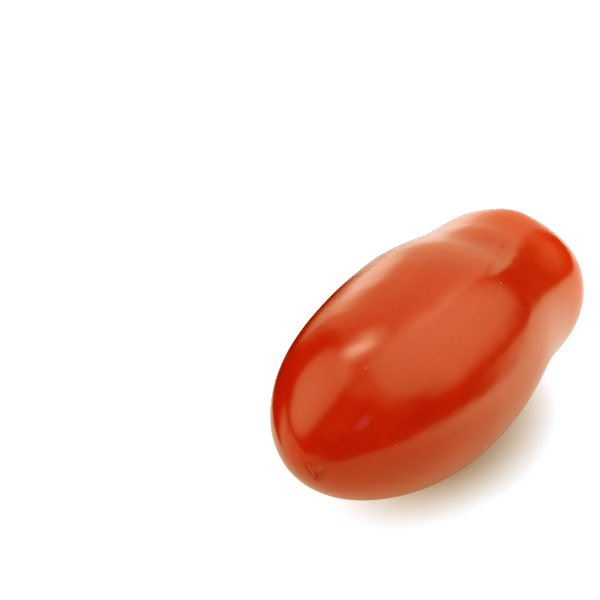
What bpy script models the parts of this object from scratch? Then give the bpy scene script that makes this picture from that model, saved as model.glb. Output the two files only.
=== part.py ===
"""A ripe plum tomato, picked without its calyx and lying on its side.

The fruit grew as one piece, so it is one solid. The blossom end points to -Y, the stem end to +Y,
and +Z is up. The origin lies on the surface that the fruit rests on, under the middle of its box.
Every size is in metres, and every angle round the fruit starts at +X and turns towards +Z.
"""

import math

import bmesh
import bpy
from mathutils import Vector

NAME = "tomato"

# Length from end to end, and radii at stations given as shares of it from the blossom end.
LENGTH = 0.078
BELLY_RADIUS = 0.0180
BELLY_STATION = 0.56
NECK_RADIUS = 0.0148
NECK_STATION = 0.81
SHOULDER_RADIUS = 0.0149
SHOULDER_STATION = 0.85

# How each end closes: a larger taper fills the dome, a larger bluntness flattens its tip.
BLOSSOM_TAPER = 2.7
BLOSSOM_BLUNTNESS = 1.64
STEM_TAPER = 2.1
STEM_BLUNTNESS = 2.0

# How far the two ends stand off the straight line through the belly, sideways and upwards.
BLOSSOM_SIDE = -0.0002
BLOSSOM_LIFT = 0.0032
STEM_SIDE = 0.0017
STEM_LIFT = -0.0004

# The three seed chambers round the shoulder off into a blunt triangle, fading out at mid length.
CHAMBERS = 3
CHAMBER_SWELL = 0.041
CHAMBER_ANGLE = math.radians(34)
LOBES_START = 0.50
LOBES_FULL = 0.75

# One shallow furrow runs from the stem end over the shoulder and the neck.
FURROW_DEPTH = 0.0007
FURROW_ANGLE = math.radians(65)
FURROW_SPREAD = math.radians(25)

# The stem end is drawn in round a small corky scar with a pit in it.
DIMPLE_DEPTH = 0.0022
DIMPLE_RADIUS = 0.0060
SCAR_INSET = 0.0004
SCAR_RAISE = 0.0002
SCAR_PIT = 0.0004

# The weight of the fruit presses a small flat spot.
FLAT_DEPTH = 0.00035

# The cage that the skin is drawn over. Rings crowd together towards both ends.
SEGMENTS = 12
RINGS = 20
RING_CROWDING = 0.5
SKIN_LEVELS = 2

SKIN_COLOUR = (0.53, 0.018, 0.004, 1.0)
SKIN_ROUGHNESS = 0.2


def half_wave(share):
    """Ease from 0 to 1 along half a cosine wave."""
    share = min(max(share, 0.0), 1.0)
    return (1 - math.cos(math.pi * share)) / 2


def dome(share, taper, bluntness):
    """Radius of a closing end as a share of its full radius, from 0 at the tip to 1."""
    return (1 - (1 - share) ** taper) ** (1 / bluntness)


def skin_radius(station):
    """Radius of the fruit at a station, before lobes and furrow."""
    if station <= BELLY_STATION:
        return BELLY_RADIUS * dome(station / BELLY_STATION, BLOSSOM_TAPER, BLOSSOM_BLUNTNESS)
    if station <= NECK_STATION:
        share = (station - BELLY_STATION) / (NECK_STATION - BELLY_STATION)
        return BELLY_RADIUS + (NECK_RADIUS - BELLY_RADIUS) * half_wave(share)
    if station <= SHOULDER_STATION:
        share = (station - NECK_STATION) / (SHOULDER_STATION - NECK_STATION)
        return NECK_RADIUS + (SHOULDER_RADIUS - NECK_RADIUS) * half_wave(share)
    return SHOULDER_RADIUS * dome((1 - station) / (1 - SHOULDER_STATION), STEM_TAPER, STEM_BLUNTNESS)


def ring_station(turn):
    """Station of a ring, from its turn round the sphere: 0 at the blossom end, 1 at the stem end."""
    turn -= RING_CROWDING * math.sin(2 * math.pi * turn) / (2 * math.pi)
    return half_wave(turn)


def centre_line(station):
    """Sideways and upward place of the fruit's centre at a station."""
    to_blossom = half_wave(1 - 2 * station)
    to_stem = half_wave(2 * station - 1)
    side = BLOSSOM_SIDE * to_blossom + STEM_SIDE * to_stem
    lift = BLOSSOM_LIFT * to_blossom + STEM_LIFT * to_stem
    return side, lift


def lobe_factor(station, angle):
    """What the seed chambers and the furrow do to the radius at one place on the skin."""
    swell = CHAMBER_SWELL * math.cos(CHAMBERS * (angle - CHAMBER_ANGLE))
    away = math.remainder(angle - FURROW_ANGLE, 2 * math.pi)
    furrow = FURROW_DEPTH / SHOULDER_RADIUS * math.exp(-((away / FURROW_SPREAD) ** 2))
    weight = half_wave((station - LOBES_START) / (LOBES_FULL - LOBES_START))
    return 1 + weight * (swell - furrow)


def skin_point(turn, angle):
    """A cage vertex. The cage stands out by as much as the smooth skin shrinks inside it."""
    station = ring_station(turn)
    radius = skin_radius(station) * 3 / (2 + math.cos(2 * math.pi / SEGMENTS))
    side, lift = centre_line(station)
    along = LENGTH * (station - 0.5)
    if station > 0.5:
        along -= DIMPLE_DEPTH * math.exp(-((radius / DIMPLE_RADIUS) ** 2))
    radius *= lobe_factor(station, angle)
    return Vector((side + radius * math.cos(angle), along, lift + radius * math.sin(angle)))


def fruit_cage():
    """A sphere of rings, drawn out into the fruit, with the stem scar set into its far end."""
    cage = bmesh.new()
    bmesh.ops.create_uvsphere(cage, u_segments=SEGMENTS, v_segments=RINGS, radius=1.0)
    stem = min(cage.verts, key=lambda vertex: vertex.co.z)
    for vertex in cage.verts:
        turn = math.acos(min(max(vertex.co.z, -1.0), 1.0)) / math.pi
        vertex.co = skin_point(turn, math.atan2(vertex.co.y, vertex.co.x))
    cage.normal_update()
    bmesh.ops.inset_region(
        cage, faces=list(stem.link_faces), thickness=SCAR_INSET, depth=SCAR_RAISE, use_even_offset=True
    )
    stem.co.y -= SCAR_PIT
    mesh = bpy.data.meshes.new(NAME)
    cage.to_mesh(mesh)
    cage.free()
    mesh.shade_smooth()
    return mesh


def skin_material():
    material = bpy.data.materials.new("ripe_skin")
    material.use_nodes = True
    shader = material.node_tree.nodes["Principled BSDF"]
    shader.inputs["Base Color"].default_value = SKIN_COLOUR
    shader.inputs["Roughness"].default_value = SKIN_ROUGHNESS
    shader.inputs["Metallic"].default_value = 0.0
    return material


def settle(fruit):
    """Centre the fruit's box on the origin, with its lowest point a flat spot's depth too low."""
    bpy.context.view_layer.update()
    skin = fruit.evaluated_get(bpy.context.evaluated_depsgraph_get()).to_mesh()
    places = [vertex.co.copy() for vertex in skin.vertices]
    low = [min(place[axis] for place in places) for axis in range(3)]
    high = [max(place[axis] for place in places) for axis in range(3)]
    shift = Vector((-(low[0] + high[0]) / 2, -(low[1] + high[1]) / 2, -low[2] - FLAT_DEPTH))
    for vertex in fruit.data.vertices:
        vertex.co += shift


def ground_cutter():
    """A slab whose top is the resting surface. What reaches into it is pressed flat."""
    slab_height = LENGTH / 4
    slab_width = LENGTH * 1.5
    solid = bmesh.new()
    bmesh.ops.create_cube(solid, size=1.0)
    for vertex in solid.verts:
        vertex.co.x *= slab_width
        vertex.co.y *= slab_width
        vertex.co.z = (vertex.co.z - 0.5) * slab_height
    mesh = bpy.data.meshes.new("ground_cutter")
    solid.to_mesh(mesh)
    solid.free()
    cutter = bpy.data.objects.new("ground_cutter", mesh)
    cutter.hide_render = True
    cutter.display_type = "WIRE"
    return cutter


def build():
    for thing in list(bpy.data.objects):
        bpy.data.objects.remove(thing)
    parts = bpy.data.collections.new(NAME)
    cutters = bpy.data.collections.new("cutters")
    bpy.context.scene.collection.children.link(parts)
    bpy.context.scene.collection.children.link(cutters)

    fruit = bpy.data.objects.new(NAME, fruit_cage())
    fruit.data.materials.append(skin_material())
    parts.objects.link(fruit)
    smooth = fruit.modifiers.new("smooth_skin", "SUBSURF")
    smooth.levels = SKIN_LEVELS
    smooth.render_levels = SKIN_LEVELS
    settle(fruit)

    cutter = ground_cutter()
    cutters.objects.link(cutter)
    flat = fruit.modifiers.new("flat_spot", "BOOLEAN")
    flat.operation = "DIFFERENCE"
    flat.solver = "EXACT"
    flat.object = cutter


build()
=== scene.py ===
"""A ripe plum tomato without its calyx, lying on a white table under soft studio light."""

import math

import bmesh
import bpy
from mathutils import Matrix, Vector


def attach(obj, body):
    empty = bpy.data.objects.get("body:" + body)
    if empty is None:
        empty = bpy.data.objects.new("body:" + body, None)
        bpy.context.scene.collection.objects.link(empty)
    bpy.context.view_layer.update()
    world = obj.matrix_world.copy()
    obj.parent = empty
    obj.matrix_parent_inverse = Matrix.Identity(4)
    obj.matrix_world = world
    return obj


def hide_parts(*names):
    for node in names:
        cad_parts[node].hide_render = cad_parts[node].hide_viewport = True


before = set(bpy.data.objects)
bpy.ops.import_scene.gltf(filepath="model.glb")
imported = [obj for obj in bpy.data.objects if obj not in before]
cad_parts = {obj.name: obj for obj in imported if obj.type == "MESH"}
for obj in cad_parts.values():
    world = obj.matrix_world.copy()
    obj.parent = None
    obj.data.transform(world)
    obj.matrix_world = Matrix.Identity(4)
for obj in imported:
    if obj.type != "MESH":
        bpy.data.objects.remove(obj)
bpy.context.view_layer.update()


# The fruit. A real plum tomato swells round three seed chambers, narrows to a neck and closes in a
# rounded shoulder. The form starts as a sphere of rings, each drawn out to its own station, and the
# chambers and one furrow are then pulled into the rings, as they are in the solid that it covers.
LENGTH = 0.078
BELLY_RADIUS = 0.0180
BELLY_STATION = 0.56
NECK_RADIUS = 0.0148
NECK_STATION = 0.81
SHOULDER_RADIUS = 0.0149
SHOULDER_STATION = 0.85
BLOSSOM_TAPER = 2.7
BLOSSOM_BLUNTNESS = 1.64
STEM_TAPER = 2.1
STEM_BLUNTNESS = 2.0
BLOSSOM_SIDE = -0.0002
BLOSSOM_LIFT = 0.0032
STEM_SIDE = 0.0017
STEM_LIFT = -0.0004
CHAMBERS = 3
CHAMBER_SWELL = 0.041
CHAMBER_ANGLE = math.radians(34)
LOBES_START = 0.50
LOBES_FULL = 0.75
FURROW_DEPTH = 0.0007
FURROW_ANGLE = math.radians(65)
FURROW_SPREAD = math.radians(25)
DIMPLE_DEPTH = 0.0022
DIMPLE_RADIUS = 0.0060
SCAR_INSET = 0.0004
SCAR_RAISE = 0.0002
SCAR_PIT = 0.0004
SEGMENTS = 12
RINGS = 20
RING_CROWDING = 0.5
SUBDIVIDED_SHRINK = (2 + math.cos(2 * math.pi / SEGMENTS)) / 3
SKIN_LEVELS = 4
FLAT_DEPTH = 0.00035


def half_wave(share):
    """Ease from 0 to 1 along half a cosine wave."""
    share = min(max(share, 0.0), 1.0)
    return (1 - math.cos(math.pi * share)) / 2


def bump(distance, width):
    """A soft bump that is 1 at no distance and fades within about twice its width."""
    return math.exp(-((distance / width) ** 2))


def dome(share, taper, bluntness):
    """Radius of a closing end as a share of its full radius, from 0 at the tip to 1."""
    return (1 - (1 - share) ** taper) ** (1 / bluntness)


def skin_radius(station):
    """Radius of the fruit at a station, before chambers and furrow."""
    if station <= BELLY_STATION:
        return BELLY_RADIUS * dome(station / BELLY_STATION, BLOSSOM_TAPER, BLOSSOM_BLUNTNESS)
    if station <= NECK_STATION:
        share = (station - BELLY_STATION) / (NECK_STATION - BELLY_STATION)
        return BELLY_RADIUS + (NECK_RADIUS - BELLY_RADIUS) * half_wave(share)
    if station <= SHOULDER_STATION:
        share = (station - NECK_STATION) / (SHOULDER_STATION - NECK_STATION)
        return NECK_RADIUS + (SHOULDER_RADIUS - NECK_RADIUS) * half_wave(share)
    return SHOULDER_RADIUS * dome((1 - station) / (1 - SHOULDER_STATION), STEM_TAPER, STEM_BLUNTNESS)


bpy.ops.object.select_all(action="DESELECT")
bpy.ops.mesh.primitive_uv_sphere_add(
    segments=SEGMENTS, ring_count=RINGS, radius=LENGTH / 2, rotation=(math.pi / 2, 0, 0)
)
fruit = bpy.context.active_object
fruit.name = "tomato_skin"
bpy.ops.object.transform_apply(location=True, rotation=True, scale=True)

bpy.ops.object.mode_set(mode="EDIT")
bpy.ops.mesh.select_mode(type="VERT")
cage = bmesh.from_edit_mesh(fruit.data)
by_station = sorted(cage.verts, key=lambda vertex: vertex.co.y)
rings = [by_station[:1]]
rings += [by_station[1 + SEGMENTS * ring:1 + SEGMENTS * (ring + 1)] for ring in range(RINGS - 1)]
rings += [by_station[-1:]]
for number, ring in enumerate(rings):
    turn = number / RINGS
    turn -= RING_CROWDING * math.sin(2 * math.pi * turn) / (2 * math.pi)
    station = half_wave(turn)
    radius = skin_radius(station) / SUBDIVIDED_SHRINK
    along = LENGTH * (station - 0.5)
    if station > 0.5:
        along -= DIMPLE_DEPTH * bump(radius, DIMPLE_RADIUS)
    to_blossom = half_wave(1 - 2 * station)
    to_stem = half_wave(2 * station - 1)
    side = BLOSSOM_SIDE * to_blossom + STEM_SIDE * to_stem
    lift = BLOSSOM_LIFT * to_blossom + STEM_LIFT * to_stem
    bpy.ops.mesh.select_all(action="DESELECT")
    for vertex in ring:
        vertex.select_set(True)
    old = ring[0].co.copy()
    old_radius = math.hypot(old.x, old.z)
    if len(ring) > 1:
        scale = radius / old_radius
        bpy.ops.transform.resize(value=(scale, 1, scale), center_override=(0, old.y, 0))
    bpy.ops.transform.translate(value=(side, along - old.y, lift))
    lobes = half_wave((station - LOBES_START) / (LOBES_FULL - LOBES_START))
    if lobes and len(ring) > 1:
        for vertex in ring:
            out = Vector((vertex.co.x - side, 0, vertex.co.z - lift))
            angle = math.atan2(out.z, out.x)
            swell = CHAMBER_SWELL * math.cos(CHAMBERS * (angle - CHAMBER_ANGLE))
            away = math.remainder(angle - FURROW_ANGLE, 2 * math.pi)
            furrow = FURROW_DEPTH / SHOULDER_RADIUS * bump(away, FURROW_SPREAD)
            bpy.ops.mesh.select_all(action="DESELECT")
            vertex.select_set(True)
            bpy.ops.transform.translate(value=out * lobes * (swell - furrow))

# The stem end is drawn in round its scar. Its pole is the point where the most edges meet.
bpy.ops.mesh.select_all(action="DESELECT")
stem_pole = rings[-1][0]
bpy.ops.mesh.select_mode(type="FACE")
for face in stem_pole.link_faces:
    face.select_set(True)
bpy.ops.mesh.inset(thickness=SCAR_INSET, depth=SCAR_RAISE)
bpy.ops.mesh.select_mode(type="VERT")
bpy.ops.mesh.select_all(action="DESELECT")
stem_pole = max(cage.verts, key=lambda vertex: len(vertex.link_edges) * (vertex.co.y > 0))
stem_pole.select_set(True)
bpy.ops.transform.translate(value=(0, -SCAR_PIT, 0))
stem_point = stem_pole.index
bpy.ops.object.mode_set(mode="OBJECT")

bpy.ops.object.shade_smooth()
smooth = fruit.modifiers.new("smooth_skin", "SUBSURF")
smooth.levels = SKIN_LEVELS
smooth.render_levels = SKIN_LEVELS
bpy.ops.object.modifier_apply(modifier="smooth_skin")

low = [min(vertex.co[axis] for vertex in fruit.data.vertices) for axis in range(3)]
high = [max(vertex.co[axis] for vertex in fruit.data.vertices) for axis in range(3)]
fruit.location = (-(low[0] + high[0]) / 2, -(low[1] + high[1]) / 2, -low[2] - FLAT_DEPTH)
bpy.ops.object.transform_apply(location=True, rotation=True, scale=True)

# The blossom scar: a creased U with a pocket in it, where the flower fell off.
BLOSSOM_SCAR = Vector((0.0016, -0.0376, 0.0198))
SCAR_OUT = Vector((0.32, -0.93, -0.17)).normalized()
SCAR_ACROSS = Vector((0, 0, 1)).cross(SCAR_OUT).normalized()
SCAR_UP = SCAR_OUT.cross(SCAR_ACROSS)
SCAR_REACH = 0.0034
SCAR_HALF_WIDTH = 0.0018
SCAR_HEIGHT = 0.0041
SCAR_FOOT = 0.0022
SCAR_CURVE = 1.5
LEFT_ARM_TOP = 0.0013
RIGHT_ARM_TOP = 0.0010
CREASE_WIDTH = 0.00020
CREASE_DEPTH = 0.00024
LIP_WIDTH = 0.00030
LIP_HEIGHT = 0.00018
LIP_INSET = 1.6 * LIP_WIDTH
POCKET_DEPTH = 0.00036
TONGUE_SIDE = -0.0003


def scar_place(place):
    """Where a point lies across and up the blossom scar, and how far inside its U."""
    offset = place - BLOSSOM_SCAR
    across = offset.dot(SCAR_ACROSS)
    up = offset.dot(SCAR_UP)
    share = abs(across) / SCAR_HALF_WIDTH
    slope = SCAR_CURVE * SCAR_HEIGHT / SCAR_HALF_WIDTH * share ** (SCAR_CURVE - 1)
    inside = (up + SCAR_FOOT - SCAR_HEIGHT * share ** SCAR_CURVE) / math.hypot(1, slope)
    return across, up, inside


def near_scar(place):
    return place.y < 0 and (place - BLOSSOM_SCAR).length < SCAR_REACH


def crease_share(place):
    if not near_scar(place):
        return 0
    across, up, inside = scar_place(place)
    top = LEFT_ARM_TOP if across < 0 else RIGHT_ARM_TOP
    return bump(inside, CREASE_WIDTH) * half_wave((top - up) / LIP_WIDTH)


def pocket_share(place):
    if not near_scar(place):
        return 0
    across, up, inside = scar_place(place)
    roof = half_wave((LEFT_ARM_TOP - up) / SCAR_HALF_WIDTH)
    return half_wave(inside / LIP_WIDTH) * half_wave((across - TONGUE_SIDE) / LIP_WIDTH) * roof


def lip_share(place):
    if not near_scar(place):
        return 0
    across, up, inside = scar_place(place)
    below_top = up < LEFT_ARM_TOP
    return bump(inside - LIP_INSET, LIP_WIDTH) * half_wave(-across / LIP_WIDTH) * below_top


# A sharper crease runs along the bottom of the furrow and fades out on the shoulder.
FOLD_DEPTH = 0.00016
FOLD_WIDTH = 0.0009
FOLD_START = 0.004
FOLD_FULL = 0.014
FOLD_FADE = 0.016
FOLD_END = 0.025
FOLD_ANGLE = math.radians(61.5)
FOLD_TURN = math.radians(11)
FOLD_STRAIGHT = 0.006
FOLD_BEND = 0.0187
CORE_HEIGHT = 0.0179


def fold_share(place):
    if not FOLD_START < place.y < FOLD_END:
        return 0
    bend = max(place.y - FOLD_STRAIGHT, 0) / FOLD_BEND
    angle = math.atan2(place.z - CORE_HEIGHT, place.x)
    away = math.hypot(place.x, place.z - CORE_HEIGHT) * (angle - FOLD_ANGLE - FOLD_TURN * bend ** 2)
    fade_in = half_wave((place.y - FOLD_START) / (FOLD_FULL - FOLD_START))
    return bump(away, FOLD_WIDTH) * fade_in * half_wave((FOLD_END - place.y) / (FOLD_END - FOLD_FADE))


# Beside the furrow the shoulder carries a low ridge, the edge of the next seed chamber.
RIDGE_HEIGHT = 0.00080
RIDGE_ANGLE = math.radians(90)
RIDGE_SPREAD = math.radians(22)
RIDGE_START = 0.013
RIDGE_FULL = 0.022
RIDGE_FADE = 0.030
RIDGE_END = 0.038


def ridge_share(place):
    if not RIDGE_START < place.y < RIDGE_END:
        return 0
    angle = math.atan2(place.z - CORE_HEIGHT, place.x - STEM_SIDE)
    fade_in = half_wave((place.y - RIDGE_START) / (RIDGE_FULL - RIDGE_START))
    fade_out = half_wave((RIDGE_END - place.y) / (RIDGE_END - RIDGE_FADE))
    return bump(angle - RIDGE_ANGLE, RIDGE_SPREAD) * fade_in * fade_out


# The stem scar is a disc of cork with a raised rim, the stub of the stalk's core and short cracks.
STEM_END_FROM = 0.03
CORK_RADIUS = 0.0021
CORK_LOBES = 5
LOBE_SHARE = 0.07
LOBE_START = 1.0
CORK_SIDES = 3
SIDE_SHARE = 0.05
CORK_RIM = 0.00030
RIM_HEIGHT = 0.00016
FLOOR_DEPTH = 0.00020
STUB_RADIUS = 0.0006
STUB_HEIGHT = 0.00030
CRACKS = 7
CRACK_START = 0.4
CRACK_FULL = 0.8
CRACK_FADE = 1.2
CRACK_REACH = 1.9
CRACK_BEND = 0.25
CRACK_DEPTH = 0.00010
CRACK_WIDTH = 0.00009
stem_end = fruit.data.vertices[stem_point].co.copy()


def cork_place(place):
    """Distance from the middle of the stem scar as a share of its radius there, and the bearing."""
    bearing = math.atan2(place.z - stem_end.z, place.x - stem_end.x)
    lobes = LOBE_SHARE * math.sin(CORK_LOBES * bearing + LOBE_START)
    wander = 1 + lobes + SIDE_SHARE * math.sin(CORK_SIDES * bearing)
    return math.hypot(place.x - stem_end.x, place.z - stem_end.z) / (CORK_RADIUS * wander), bearing


def rim_share(place):
    if place.y < STEM_END_FROM:
        return 0
    return bump((cork_place(place)[0] - 1) * CORK_RADIUS, CORK_RIM)


def floor_share(place):
    if place.y < STEM_END_FROM:
        return 0
    return half_wave((1 - cork_place(place)[0]) * CORK_RADIUS / CORK_RIM)


def stub_share(place):
    if place.y < STEM_END_FROM:
        return 0
    return half_wave(2 - 2 * cork_place(place)[0] * CORK_RADIUS / STUB_RADIUS)


def crack_share(place):
    if place.y < STEM_END_FROM:
        return 0
    out, bearing = cork_place(place)
    turn = CRACKS * (bearing + CRACK_BEND * math.sin(CORK_SIDES * bearing)) / (2 * math.pi)
    away = (turn - round(turn)) / CRACKS * 2 * math.pi * out * CORK_RADIUS
    fade_in = half_wave((out - CRACK_START) / (CRACK_FULL - CRACK_START))
    return bump(away, CRACK_WIDTH) * fade_in * half_wave((CRACK_REACH - out) / (CRACK_REACH - CRACK_FADE))


LEAST_SHARE = 0.001
bpy.ops.object.select_all(action="DESELECT")
fruit.select_set(True)
bpy.context.view_layer.objects.active = fruit
for name, height, share_at in (
    ("crease", -CREASE_DEPTH, crease_share),
    ("pocket", -POCKET_DEPTH, pocket_share),
    ("lip", LIP_HEIGHT, lip_share),
    ("fold", -FOLD_DEPTH, fold_share),
    ("ridge", RIDGE_HEIGHT, ridge_share),
    ("cork_rim", RIM_HEIGHT, rim_share),
    ("cork_floor", -FLOOR_DEPTH, floor_share),
    ("stalk_stub", STUB_HEIGHT, stub_share),
    ("cracks", -CRACK_DEPTH, crack_share),
):
    group = fruit.vertex_groups.new(name=name)
    for vertex in fruit.data.vertices:
        share = share_at(vertex.co)
        if share > LEAST_SHARE:
            group.add([vertex.index], min(share, 1), "REPLACE")
    relief = fruit.modifiers.new(name, "DISPLACE")
    relief.vertex_group = name
    relief.mid_level = 0
    relief.strength = height
    bpy.ops.object.modifier_apply(modifier=name)
    fruit.vertex_groups.clear()

# The skin is nowhere quite even, and it is flat where the fruit rests.
UNEVEN_SIZE = 0.011
UNEVEN_HEIGHT = 0.00022
clouds = bpy.data.textures.new("uneven_growth", "CLOUDS")
clouds.noise_scale = UNEVEN_SIZE
clouds.noise_depth = 2
uneven = fruit.modifiers.new("uneven_growth", "DISPLACE")
uneven.texture = clouds
uneven.mid_level = 0.5
uneven.strength = UNEVEN_HEIGHT
bpy.ops.object.modifier_apply(modifier="uneven_growth")

bpy.ops.object.mode_set(mode="EDIT")
bpy.ops.mesh.select_all(action="SELECT")
bpy.ops.mesh.bisect(
    plane_co=(0, 0, 0), plane_no=(0, 0, -1), use_fill=True, clear_outer=True, threshold=1e-6
)
bpy.ops.object.mode_set(mode="OBJECT")


class Paint:
    """A value on its way through a node tree. Sums written on it add Math nodes to the tree."""

    def __init__(self, tree, socket=None):
        self.tree = tree
        self.socket = socket

    def node(self, kind, settings=None, sockets=None, out=0):
        """Add any node: its settings come first, then its sockets. The result is one output."""
        made = self.tree.nodes.new("ShaderNode" + kind)
        for name, value in (settings or {}).items():
            setattr(made, name, value)
        for name, value in (sockets or {}).items():
            if isinstance(value, Paint):
                self.tree.links.new(value.socket, made.inputs[name])
            else:
                made.inputs[name].default_value = value
        return Paint(self.tree, made.outputs[out])

    def math(self, operation, first, second):
        return self.node("Math", {"operation": operation}, {0: first, 1: second})

    def __add__(self, other):
        return self.math("ADD", self, other)

    def __sub__(self, other):
        return self.math("SUBTRACT", self, other)

    def __rsub__(self, other):
        return self.math("SUBTRACT", other, self)

    def __mul__(self, other):
        return self.math("MULTIPLY", self, other)

    def __pow__(self, other):
        return self.math("POWER", self, other)

    def __lt__(self, other):
        return self.math("LESS_THAN", self, other)

    __radd__ = __add__
    __rmul__ = __mul__

    def rise(self, start, end):
        """Ease from 0 at the start to 1 at the end, or back down where the end is the smaller."""
        return self.node(
            "MapRange",
            {"interpolation_type": "SMOOTHSTEP"},
            {"Value": self, "From Min": start, "From Max": end},
        )

    def tint(self, first, second):
        """Mix two colours by this value: the first at 0 and the second at 1."""
        return self.node("Mix", {"data_type": "RGBA"}, {0: self, 6: first, 7: second}, out=2)


# The skin: deep red, a little mottled and streaked, more orange towards the stem, with painted shade in the
# crease and the pocket of the blossom scar.
DEEP_RED = (0.43, 0.0080, 0.0022, 1)
LIVELY_RED = (0.50, 0.014, 0.0030, 1)
SHOULDER_RED = (0.68, 0.030, 0.0050, 1)
# Painted shade: the darker red laid into the crease and the pocket of the blossom scar.
PAINTED_CREASE_SHADE = (0.36, 0.001, 0.0003, 1)
SPECK = (0.85, 0.35, 0.16, 1)
CORK = (0.30, 0.17, 0.075, 1)
CORK_DARK = (0.10, 0.045, 0.018, 1)
CORK_HALO = (0.56, 0.16, 0.020, 1)
MOTTLE_SIZE = 0.013
MOTTLE_PART = 0.75
STREAK_SIZE = 0.0016
STREAK_STRETCH = 0.08
STREAK_PART = 0.25
NOISE_LOW = 0.35
NOISE_HIGH = 0.65
SHOULDER_TINT_FROM = 0.014
SHOULDER_TINT_FULL = 0.034
SHOULDER_TINT = 0.45
SHOULDER_MOTTLE = 0.6
SPECK_SPACING = 0.0032
SPECK_RADIUS = 0.00017
SPECK_SHARE = 0.6
SPECK_TINT = 0.55
POCKET_SHADE = 0.6
PAINTED_SHADE_STRENGTH = 0.9
HALO_REACH = 3.2 * CORK_RADIUS
HALO_FULL = 1.1 * CORK_RADIUS
HALO_TINT = 0.75
CORK_REACH = 1.25 * CORK_RADIUS
CORK_FULL = 0.95 * CORK_RADIUS
CORK_WANDER = 0.0012
GRAIN_SIZE = 0.00035
PORE_SIZE = 0.0012
SKIN_ROUGHNESS = 0.13
MOTTLE_ROUGHNESS = 0.05
GRAIN_ROUGHNESS = 0.03
CREASE_ROUGHNESS = 0.1
CORK_ROUGHNESS = 0.5
PORE_HEIGHT = 0.000012
SPECK_HEIGHT = 0.00003
CORK_GRAIN_HEIGHT = 0.00012

# Painted shade: how much darker red lies in the blossom scar's crease and pocket, kept on the skin. It also
# roughens them.
painted_shade_marks = fruit.data.attributes.new("painted_scar_shade", "FLOAT", "POINT")
painted_shade_marks.data.foreach_set(
    "value",
    [max(crease_share(spot.co), POCKET_SHADE * pocket_share(spot.co)) for spot in fruit.data.vertices],
)

skin = bpy.data.materials.new("ripe_skin")
skin.use_nodes = True
shader = skin.node_tree.nodes["Principled BSDF"]
paint = Paint(skin.node_tree)
place = paint.node("TexCoord", out="Object")
along = paint.node("SeparateXYZ", {}, {0: place}, out="Y")
mottle = paint.node("TexNoise", {}, {"Vector": place, "Scale": 1 / MOTTLE_SIZE, "Detail": 3.0})
drawn = paint.node("VectorMath", {"operation": "MULTIPLY"}, {0: place, 1: (1, STREAK_STRETCH, 1)})
streak = paint.node("TexNoise", {}, {"Vector": drawn, "Scale": 1 / STREAK_SIZE, "Detail": 2.0})
ripeness = (mottle * MOTTLE_PART + streak * STREAK_PART).rise(NOISE_LOW, NOISE_HIGH)
colour = ripeness.tint(DEEP_RED, LIVELY_RED)
towards_stem = along.rise(SHOULDER_TINT_FROM, SHOULDER_TINT_FULL)
colour = (towards_stem * (SHOULDER_TINT + mottle * SHOULDER_MOTTLE)).tint(colour, SHOULDER_RED)

cell = {"Vector": place, "Scale": 1 / SPECK_SPACING}
speck_gap = paint.node("TexVoronoi", {}, cell, out="Distance")
speck_draw = paint.node("SeparateColor", {}, {0: paint.node("TexVoronoi", {}, cell, out="Color")})
speck = speck_gap.rise(SPECK_RADIUS / SPECK_SPACING, 0.5 * SPECK_RADIUS / SPECK_SPACING)
speck = speck * (speck_draw < SPECK_SHARE)
colour = (speck * SPECK_TINT).tint(colour, SPECK)

# Painted shade: the scar's crease and pocket are tinted darker red.
painted_scar_shade = paint.node("Attribute", {"attribute_name": "painted_scar_shade"}, out="Fac")
colour = (painted_scar_shade * PAINTED_SHADE_STRENGTH).tint(colour, PAINTED_CREASE_SHADE)

stem_gap = paint.node("VectorMath", {"operation": "DISTANCE"}, {0: place, 1: stem_end}, out="Value")
grain = paint.node("TexNoise", {}, {"Vector": place, "Scale": 1 / GRAIN_SIZE, "Detail": 3.0})
wander = stem_gap + (streak - 0.5) * CORK_WANDER
halo = wander.rise(HALO_REACH, HALO_FULL)
cork = wander.rise(CORK_REACH, CORK_FULL)
colour = (halo * HALO_TINT).tint(colour, CORK_HALO)
colour = cork.tint(colour, grain.rise(NOISE_LOW, NOISE_HIGH).tint(CORK_DARK, CORK))

pore = paint.node("TexNoise", {}, {"Vector": place, "Scale": 1 / PORE_SIZE, "Detail": 1.0})
roughness = SKIN_ROUGHNESS + mottle * MOTTLE_ROUGHNESS + grain * GRAIN_ROUGHNESS
roughness = roughness + painted_scar_shade * CREASE_ROUGHNESS + cork * CORK_ROUGHNESS
skin_height = pore * PORE_HEIGHT + speck * SPECK_HEIGHT + cork * grain * CORK_GRAIN_HEIGHT
dents = paint.node("Bump", {}, {"Strength": 1.0, "Distance": 1.0, "Height": skin_height}, out="Normal")
skin.node_tree.links.new(colour.socket, shader.inputs["Base Color"])
skin.node_tree.links.new(roughness.socket, shader.inputs["Roughness"])
skin.node_tree.links.new(dents.socket, shader.inputs["Normal"])
shader.inputs["IOR"].default_value = 1.5
shader.inputs["Subsurface Weight"].default_value = 0.6
shader.inputs["Subsurface Radius"].default_value = (1.0, 0.18, 0.08)
shader.inputs["Subsurface Scale"].default_value = 0.008
fruit.data.materials.append(skin)

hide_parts("tomato")
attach(fruit, "root")


# The table. A white sheet, lit from above, that also glows of itself though it is no lamp: painted light.
# Its glow is dimmed in an ellipse under the fruit, a painted shadow, and raised towards the far side on the
# right, a painted pool of light. Its white leans blue, against the red light that the fruit throws on it.
# The camera sees more of the glow than the fruit does, so the sheet prints white and the underside of the
# fruit stays calm.
TABLE_SIZE = 3.0
OPAL_WHITE = (0.48, 0.60, 0.64, 1)
OPAL_GLOW = 0.65
CONTACT_GLOW = 0.12
GLOW_ON_FRUIT = 0.36
# The painted pool of light: glow that rises towards the far side on the right.
PAINTED_FAR_GLOW = 0.85
FAR_BEARING = math.radians(42)
FAR_START = 0.008
FAR_FULL = 0.080
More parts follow.
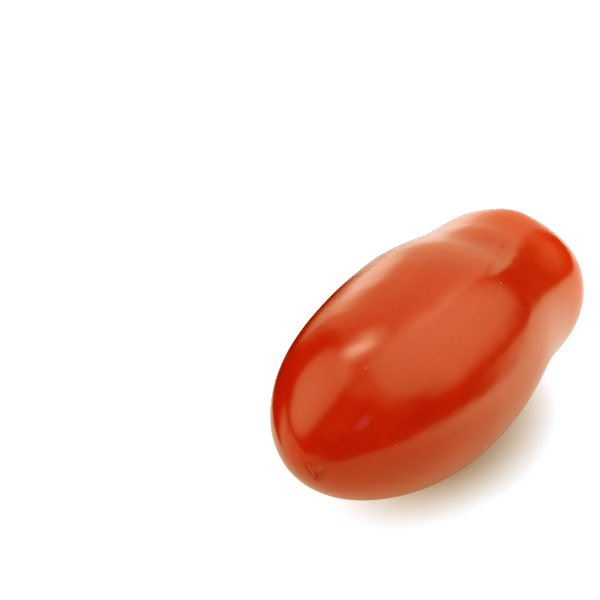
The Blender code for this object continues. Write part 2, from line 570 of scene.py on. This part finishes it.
# The painted shadow: an ellipse under the fruit where the glow is dimmed.
PAINTED_SHADOW_MIDDLE = (0.0045, 0.009, 0)
PAINTED_SHADOW_HALF_WIDTH = 0.018
PAINTED_SHADOW_HALF_LENGTH = 0.031
PAINTED_SHADOW_START = 0.30
PAINTED_SHADOW_END = 1.10
bpy.ops.object.select_all(action="DESELECT")
bpy.ops.mesh.primitive_plane_add(size=TABLE_SIZE, location=(0, 0, 0))
table = bpy.context.active_object
table.name = "table"
opal = bpy.data.materials.new("self_lit_table")
opal.use_nodes = True
sheet = opal.node_tree.nodes["Principled BSDF"]
sheet.inputs["Base Color"].default_value = OPAL_WHITE
sheet.inputs["Roughness"].default_value = 0.9
sheet.inputs["Specular IOR Level"].default_value = 0.0
painted_glow = Paint(opal.node_tree)
spot = painted_glow.node("TexCoord", out="Object")
away = painted_glow.node("VectorMath", {"operation": "SUBTRACT"}, {0: spot, 1: PAINTED_SHADOW_MIDDLE})
outline = (1 / PAINTED_SHADOW_HALF_WIDTH, 1 / PAINTED_SHADOW_HALF_LENGTH, 0)
away = painted_glow.node("VectorMath", {"operation": "MULTIPLY"}, {0: away, 1: outline})
away = painted_glow.node("VectorMath", {"operation": "LENGTH"}, {0: away}, out="Value")
towards = (math.sin(FAR_BEARING), math.cos(FAR_BEARING), 0)
far = painted_glow.node("VectorMath", {"operation": "DOT_PRODUCT"}, {0: spot, 1: towards}, out="Value")
seen = painted_glow.node("LightPath", out="Is Camera Ray")
# Painted shadow: the glow is dimmed inside the ellipse round the fruit's foot.
glow_round_painted_shadow = away.rise(PAINTED_SHADOW_START, PAINTED_SHADOW_END) * OPAL_GLOW + CONTACT_GLOW
glow_round_painted_shadow = glow_round_painted_shadow * (seen * (1 - GLOW_ON_FRUIT) + GLOW_ON_FRUIT)
# Painted light: more glow towards the far side on the right.
strength = glow_round_painted_shadow + far.rise(FAR_START, FAR_FULL) * PAINTED_FAR_GLOW
sheet.inputs["Emission Color"].default_value = (1, 1, 1, 1)
opal.node_tree.links.new(strength.socket, sheet.inputs["Emission Strength"])
table.data.materials.append(opal)


# The dark cards. Three low black cards curve round the front and the left of the table, softly cut
# at top, foot and ends. Only the gloss of the skin shows them, as its dark rim above the bright table.
CARD_SIDES = 96


def stand_card(name, ring, top, soft_top, foot, bearing, ends, full):
    """A black card on a ring round the fruit. Its ends and full stretch are angles off its bearing."""
    bpy.ops.object.select_all(action="DESELECT")
    bpy.ops.mesh.primitive_cylinder_add(
        vertices=CARD_SIDES, radius=ring, depth=top, end_fill_type="NOTHING", location=(0, 0, top / 2)
    )
    card = bpy.context.active_object
    card.name = name
    bpy.ops.object.transform_apply(location=True, rotation=True, scale=True)
    bpy.ops.object.shade_smooth()
    black = bpy.data.materials.new(name)
    black.use_nodes = True
    felt = black.node_tree.nodes["Principled BSDF"]
    felt.inputs["Base Color"].default_value = (0, 0, 0, 1)
    felt.inputs["Specular IOR Level"].default_value = 0.0
    dark = Paint(black.node_tree)
    spot = dark.node("TexCoord", out="Object")
    level = dark.node("SeparateXYZ", {}, {0: spot}, out="Z")
    middle = math.radians(bearing)
    towards = (math.sin(middle) / ring, math.cos(middle) / ring, 0)
    turn = dark.node("VectorMath", {"operation": "DOT_PRODUCT"}, {0: spot, 1: towards}, out="Value")
    cover = turn.rise(math.cos(math.radians(ends)), math.cos(math.radians(full)))
    cover = cover * level.rise(0, foot) * level.rise(top, top - soft_top)
    black.node_tree.links.new(cover.socket, felt.inputs["Alpha"])
    card.data.materials.append(black)
    card.visible_camera = False
    card.visible_diffuse = False
    card.visible_transmission = False
    card.visible_volume_scatter = False
    card.visible_shadow = False


stand_card("front_card", ring=0.075, top=0.040, soft_top=0.012, foot=0.010, bearing=112, ends=72, full=44)
stand_card("left_card", ring=0.045, top=0.038, soft_top=0.010, foot=0.001, bearing=-108, ends=31, full=20)
stand_card("far_left_card", ring=0.044, top=0.030, soft_top=0.012, foot=0.002, bearing=-72, ends=28, full=18)


# The light. Two large umbrellas, a bare lamp, a ceiling, pale walls and a low window stand round the
# fruit, with a faint purple glint and a broad fill in front. Only the gloss shows the lamp, the back
# wall and the window, and it leaves out the fill.
LIGHT_DISTANCE = 0.7
WHITE = (1, 1, 1)
PURPLE = (0.7, 0.35, 1.2)
GLOSS_ONLY = ("bare_lamp", "back_wall", "low_window")
NO_GLOSS = ("front_fill",)


def hang_light(
    name, bearing, height, turn, width, depth, radiance, fade,
    side_slope=0.0, up_slope=0.0, corner=2.0, dimming=0.0, colour=WHITE,
):
    """A soft light seen from the fruit at a bearing and height, as wide and deep as two angles.

    It fades towards its edge, and its brightness slopes to a side or upwards. A corner of 2 makes it
    an ellipse, a smaller one cuts it in and a larger one squares it. Dimming darkens its outer part.
    """
    lamp = bpy.data.lights.new(name, "AREA")
    lamp.shape = "RECTANGLE"
    lamp.size = 2 * LIGHT_DISTANCE * math.tan(math.radians(width / 2))
    lamp.size_y = 2 * LIGHT_DISTANCE * math.tan(math.radians(depth / 2))
    lamp.energy = radiance * math.pi * lamp.size * lamp.size_y
    lamp.color = colour
    lamp.use_nodes = True
    glow = Paint(lamp.node_tree)
    flat = glow.node("TexCoord", out="UV")
    across = glow.node("SeparateXYZ", {}, {0: flat}, out="X") * 2 - 1
    upward = glow.node("SeparateXYZ", {}, {0: flat}, out="Y") * 2 - 1
    edge = glow.math("ABSOLUTE", across, 0) ** corner + glow.math("ABSOLUTE", upward, 0) ** corner
    edge = edge ** (1 / corner)
    lit = edge.rise(1.0, 1.0 - fade) * (1 - edge * edge * dimming)
    lit = lit * (across * side_slope + upward * up_slope + 1)
    lamp.node_tree.links.new(lit.socket, lamp.node_tree.nodes["Emission"].inputs["Strength"])
    stand = bpy.data.objects.new(name, lamp)
    bpy.context.collection.objects.link(stand)
    away = Vector((
        math.sin(math.radians(bearing)) * math.cos(math.radians(height)),
        math.cos(math.radians(bearing)) * math.cos(math.radians(height)),
        math.sin(math.radians(height)),
    ))
    stand.location = away * LIGHT_DISTANCE
    stand.rotation_euler = away.to_track_quat("Z", "Y").to_euler()
    stand.rotation_euler.rotate_axis("Z", math.radians(turn))
    stand.visible_camera = False
    stand.visible_glossy = name not in NO_GLOSS
    stand.visible_diffuse = name not in GLOSS_ONLY


hang_light(
    "right_umbrella", bearing=47, height=43, turn=-14, width=69, depth=86, radiance=2.06, fade=0.44,
    side_slope=0.13, up_slope=0.37, corner=1.7, dimming=0.45,
)
hang_light(
    "left_umbrella", bearing=-112, height=46, turn=2, width=76, depth=90, radiance=2.22, fade=0.30,
    side_slope=0.15, up_slope=-0.17, corner=1.9, dimming=0.85,
)
hang_light(
    "bare_lamp", bearing=-37, height=64.7, turn=-21, width=42, depth=28, radiance=8.0, fade=1.00,
    side_slope=-0.54, up_slope=0.70, corner=1.9, dimming=0.63,
)
hang_light(
    "ceiling", bearing=108, height=89, turn=-10, width=37, depth=70, radiance=0.65, fade=0.50,
    side_slope=-0.30, up_slope=0.40, dimming=0.40,
)
hang_light(
    "back_wall", bearing=-25, height=22, turn=10, width=57, depth=80, radiance=1.00, fade=0.12,
    side_slope=-0.40, up_slope=-0.28, corner=6.0,
)
hang_light(
    "low_window", bearing=-41, height=9, turn=0, width=17, depth=24, radiance=1.40, fade=0.80,
)
hang_light(
    "right_wall", bearing=92, height=46, turn=14, width=32, depth=80, radiance=0.65, fade=0.92,
    side_slope=0.45, up_slope=0.45, corner=2.5, dimming=0.45,
)
hang_light(
    "front_glint", bearing=124, height=31, turn=-17, width=11, depth=18, radiance=1.90, fade=0.60,
    colour=PURPLE,
)
hang_light(
    "front_fill", bearing=165, height=45, turn=0, width=70, depth=50, radiance=1.90, fade=0.60,
    corner=2.5,
)

# The room is dim, and looks white to the camera alone, past the edge of the table.
ROOM_LIGHT = 0.04
world = bpy.data.worlds.new("dim_room")
bpy.context.scene.world = world
world.use_nodes = True
room = Paint(world.node_tree)
seen = room.node("LightPath", out="Is Camera Ray")
room_light = seen * (1 - ROOM_LIGHT) + ROOM_LIGHT
world.node_tree.nodes["Background"].inputs["Color"].default_value = (1, 1, 1, 1)
world.node_tree.links.new(room_light.socket, world.node_tree.nodes["Background"].inputs["Strength"])


# The camera, at the photograph's angle, height and distance.
FRAME_PIXELS = 600
FOCAL_PIXELS = 2331
SENSOR_WIDTH = 36
CAMERA_BEARING = math.radians(25.75)
CAMERA_HEIGHT = math.radians(32.5)
CAMERA_DISTANCE = 0.38
FRUIT_PIXEL = (421.3, 357.5)
FRUIT_MIDDLE = Vector((0, 0, 0.0179))
back = Vector((
    math.sin(CAMERA_BEARING) * math.cos(CAMERA_HEIGHT),
    -math.cos(CAMERA_BEARING) * math.cos(CAMERA_HEIGHT),
    math.sin(CAMERA_HEIGHT),
))
right = Vector((math.cos(CAMERA_BEARING), math.sin(CAMERA_BEARING), 0))
up = back.cross(right)
pixel = CAMERA_DISTANCE / FOCAL_PIXELS
aim = FRUIT_MIDDLE
aim = aim + right * (FRAME_PIXELS / 2 - FRUIT_PIXEL[0]) * pixel
aim = aim - up * (FRAME_PIXELS / 2 - FRUIT_PIXEL[1]) * pixel
lens = bpy.data.cameras.new("camera")
lens.sensor_width = SENSOR_WIDTH
lens.lens = SENSOR_WIDTH * FOCAL_PIXELS / FRAME_PIXELS
lens.clip_start = 0.01
camera = bpy.data.objects.new("camera", lens)
bpy.context.collection.objects.link(camera)
camera.location = FRUIT_MIDDLE + back * CAMERA_DISTANCE
camera.rotation_euler = (camera.location - aim).to_track_quat("Z", "Y").to_euler()
bpy.context.scene.camera = camera

# The picture is printed warm: reds are lifted and blues held back, and white stays white.
WARM_POWERS = (0.72, 1.0, 1.45)
CURVE_STEPS = (0.01, 0.04, 0.12, 0.3, 0.6)
grade = bpy.context.scene.view_settings
grade.view_transform = "Standard"
grade.use_curve_mapping = True
for curve, power in zip(grade.curve_mapping.curves, WARM_POWERS):
    for step in CURVE_STEPS:
        curve.points.new(step, step ** power)
grade.curve_mapping.update()
